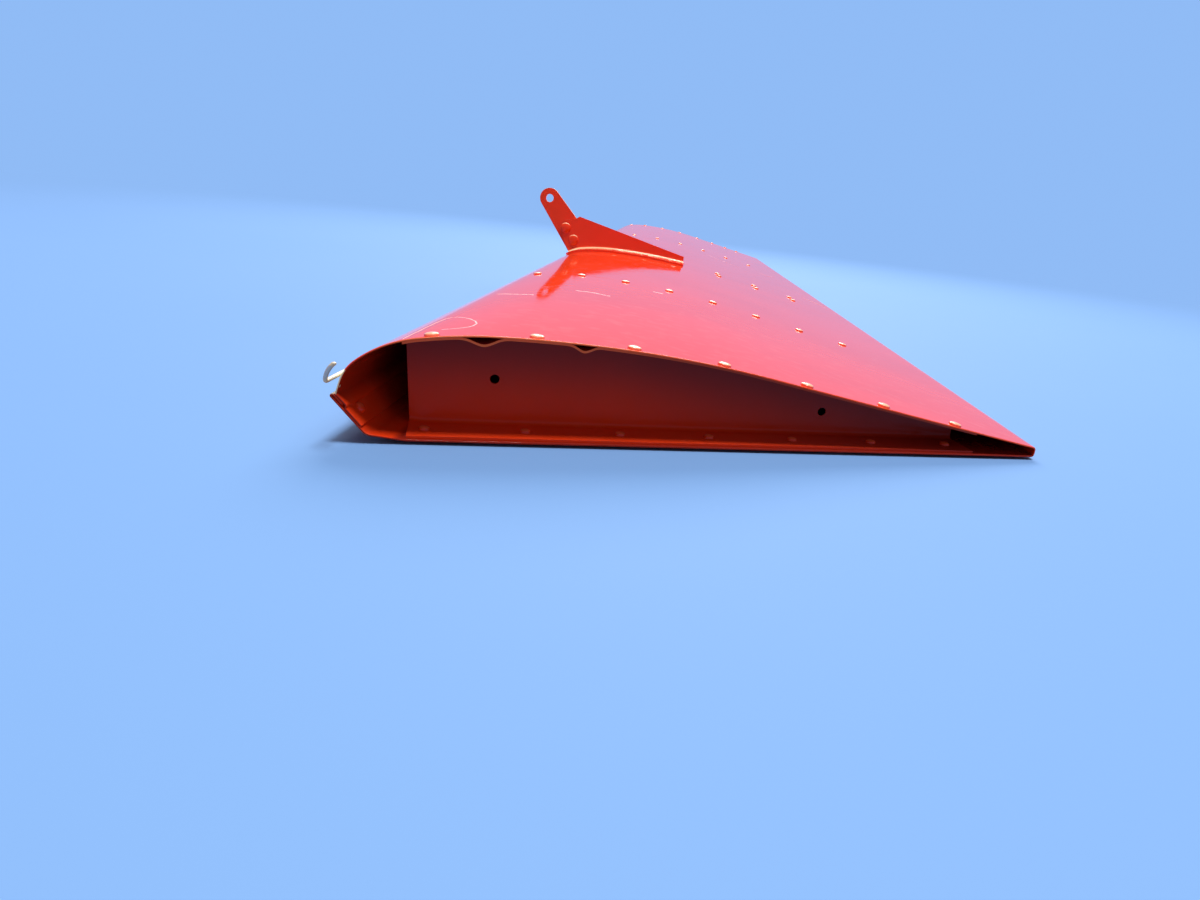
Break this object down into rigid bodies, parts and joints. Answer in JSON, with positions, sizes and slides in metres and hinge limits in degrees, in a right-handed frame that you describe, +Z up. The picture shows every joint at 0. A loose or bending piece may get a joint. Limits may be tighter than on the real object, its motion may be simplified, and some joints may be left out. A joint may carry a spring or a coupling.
{
  "type": "trim tab",
  "caption": "Riveted sheet-metal trim tab with a folded trailing edge, open ribbed ends, half a piano hinge with its wire pin on the nose, and a control horn on the upper side.",
  "frame": {"origin": "on the hinge axis, at the middle of the leading edge", "axes": "+X runs aft from the hinge to the trailing edge, +Y along the hinge axis to the far end, +Z up; the horn stands on the upper side, nearer to the -Y end"},
  "size_m": [0.2669, 1.3936, 0.082],
  "materials": {
    "tab_paint": "gloss orange-red paint",
    "bare_primer": "matt cream primer",
    "pin_wire": "dull drawn wire"
  },
  "bodies": {
    "root": {"skin": "tab_paint", "near_end_rib": "tab_paint", "second_rib": "tab_paint", "horn_rib_front": "tab_paint", "horn_rib_rear": "tab_paint", "outer_rib": "tab_paint", "far_end_rib": "tab_paint", "hinge_half": "bare_primer", "hinge_pin": "pin_wire", "horn_bracket": "tab_paint", "horn_arm": "tab_paint", "arm_rivets": "tab_paint", "bracket_rivets": "tab_paint", "near_rib_upper_rivets": "tab_paint", "near_rib_lower_rivets": "tab_paint", "second_rib_upper_rivets": "tab_paint", "second_rib_lower_rivets": "tab_paint", "horn_rib_upper_rivets": "tab_paint", "horn_rib_lower_rivets": "tab_paint", "outer_rib_upper_rivets": "tab_paint", "outer_rib_lower_rivets": "tab_paint", "far_rib_upper_rivets": "tab_paint", "far_rib_lower_rivets": "tab_paint", "hinge_rivets": "bare_primer", "nose_seam_rivets": "tab_paint"}
  },
  "joints": []
}
